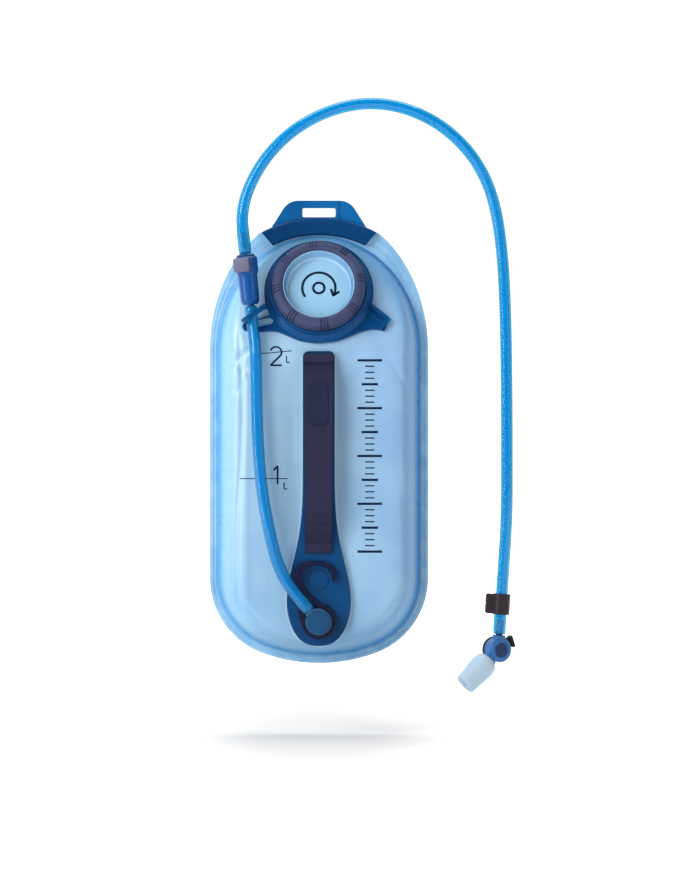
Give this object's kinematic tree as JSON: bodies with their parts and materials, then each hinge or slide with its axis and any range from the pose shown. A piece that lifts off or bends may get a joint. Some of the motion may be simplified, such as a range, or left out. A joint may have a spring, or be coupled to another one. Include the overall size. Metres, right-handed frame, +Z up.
{
  "type": "hydration bladder",
  "caption": "Flat soft water bladder with a screw cap, hanger, carrying handle, drying hook, drinking hose, quick-release coupling and bite valve.",
  "frame": {"origin": "centre of the hanger's strap slot, in the plane where the two films are welded", "axes": "+Z up, the front (cap side) faces -Y, +X to the right seen from the front"},
  "size_m": [0.2505, 0.0716, 0.4845],
  "materials": {
    "film": "clear pale-blue film, softly glossy",
    "web_film": "clear blue film",
    "stiffener": "satin blue strip",
    "hanger_blue": "satin mid-blue moulding",
    "collar_blue": "satin deep-blue moulding",
    "spine_blue": "satin deep-blue moulding",
    "strap_rubber": "matte plum-black rubber",
    "pad_rubber": "ribbed navy-black rubber",
    "ring_plum": "matte plum-grey",
    "lens_clear": "clear pale blue",
    "seal_rubber": "black rubber",
    "hook_navy": "near-black navy, bevelled",
    "fitting_blue": "deep blue",
    "elbow_blue": "deep blue, bright rim",
    "retainer_white": "natural white plastic",
    "hose_clear": "clear bright-blue hose",
    "coupler_blue": "deep blue, glossy",
    "button_grey": "plum-grey",
    "spring_steel": "bright wire",
    "clip_black": "black",
    "magnet_steel": "plated disc",
    "valve_blue": "satin blue",
    "rotor_navy": "dark navy",
    "lever_black": "black",
    "silicone": "frosted pale-blue silicone"
  },
  "bodies": {
    "bag": {"front_panel": "film", "back_panel": "film", "baffle_web": "web_film", "back_plate": "stiffener", "hanger": "hanger_blue", "collar": "collar_blue", "spine_plate": "spine_blue", "handle_strap": "strap_rubber", "grip_pad": "pad_rubber", "port_socket": "fitting_blue", "lower_hose": "hose_clear", "coupler_socket": "coupler_blue", "latch_spring": "spring_steel", "poppet_spring": "spring_steel"},
    "cap_disc": {"cap_lens": "lens_clear", "cap_gasket": "seal_rubber"},
    "cap_ring": {"cap_ring": "ring_plum"},
    "hook": {"drying_hook": "hook_navy"},
    "elbow": {"port_elbow": "elbow_blue", "elbow_cover": "elbow_blue", "elbow_o_ring": "seal_rubber", "elbow_retainer": "retainer_white"},
    "plug_seal": {"plug_o_ring": "seal_rubber"},
    "hose": {"coupler_plug": "fitting_blue", "upper_hose": "hose_clear", "valve_stem": "fitting_blue", "stem_o_ring": "seal_rubber"},
    "latch": {"latch_button": "button_grey"},
    "poppet": {"check_poppet": "retainer_white"},
    "clip": {"hose_clip": "clip_black", "clip_magnet": "magnet_steel"},
    "valve": {"valve_housing": "valve_blue", "bite_sleeve": "silicone"},
    "shutoff": {"shutoff_rotor": "rotor_navy", "rotor_seals": "seal_rubber", "shutoff_lever": "lever_black"}
  },
  "joints": [
    {"name": "cap_twist", "type": "hinge", "parent": "cap_disc", "child": "cap_ring", "pos_m": [0, -0.01653, -0.066], "axis": [0, -0.9397, 0.342], "range_deg": [0, 720]},
    {"name": "cap_lift", "type": "slide", "parent": "bag", "child": "cap_disc", "axis": [0, -0.9397, 0.342], "range_m": [0, 0.01201]},
    {"name": "hook_swing", "type": "hinge", "parent": "bag", "child": "hook", "pos_m": [0, -0.04, -0.3335], "axis": [0, 1, 0], "range_deg": [0, 180]},
    {"name": "elbow_swivel", "type": "hinge", "parent": "bag", "child": "elbow", "pos_m": [0, -0.04845, -0.3335], "axis": [0, -1, 0], "range_deg": [-30, 30], "deforming": ["lower_hose"]},
    {"name": "hose_release", "type": "slide", "parent": "bag", "child": "plug_seal", "axis": [-0.1045, 0, 0.9945], "range_m": [0, 0.004]},
    {"name": "hose_swivel", "type": "hinge", "parent": "plug_seal", "child": "hose", "pos_m": [-0.0595, -0.036, -0.0375], "axis": [-0.1045, 0, 0.9945], "continuous": true},
    {"name": "button_press", "type": "slide", "parent": "bag", "child": "latch", "axis": [0.3058, 0.9516, 0.0321], "range_m": [0, 0.002], "deforming": ["latch_spring"]},
    {"name": "poppet_close", "type": "slide", "parent": "bag", "child": "poppet", "axis": [-0.1045, 0, 0.9945], "range_m": [0, 0.004], "deforming": ["poppet_spring"]},
    {"name": "clip_slide", "type": "slide", "parent": "hose", "child": "clip", "axis": [0.0663, 0, 0.9978], "range_m": [0, 0.035]},
    {"name": "valve_swivel", "type": "hinge", "parent": "hose", "child": "valve", "pos_m": [0.1464, -0.014, -0.3577], "axis": [0.0663, 0, 0.9978], "continuous": true},
    {"name": "shutoff_turn", "type": "hinge", "parent": "valve", "child": "shutoff", "pos_m": [0.1464, -0.014, -0.3577], "axis": [-0.4997, 0.8655, 0.0332], "range_deg": [0, 90]}
  ],
  "couplings": [
    {"joint": "cap_lift", "follows": "cap_twist", "m_per_rad": 0.00095493},
    {"joint": "button_press", "follows": "hose_release", "ratio": 0.5},
    {"joint": "poppet_close", "follows": "hose_release", "ratio": 1}
  ]
}
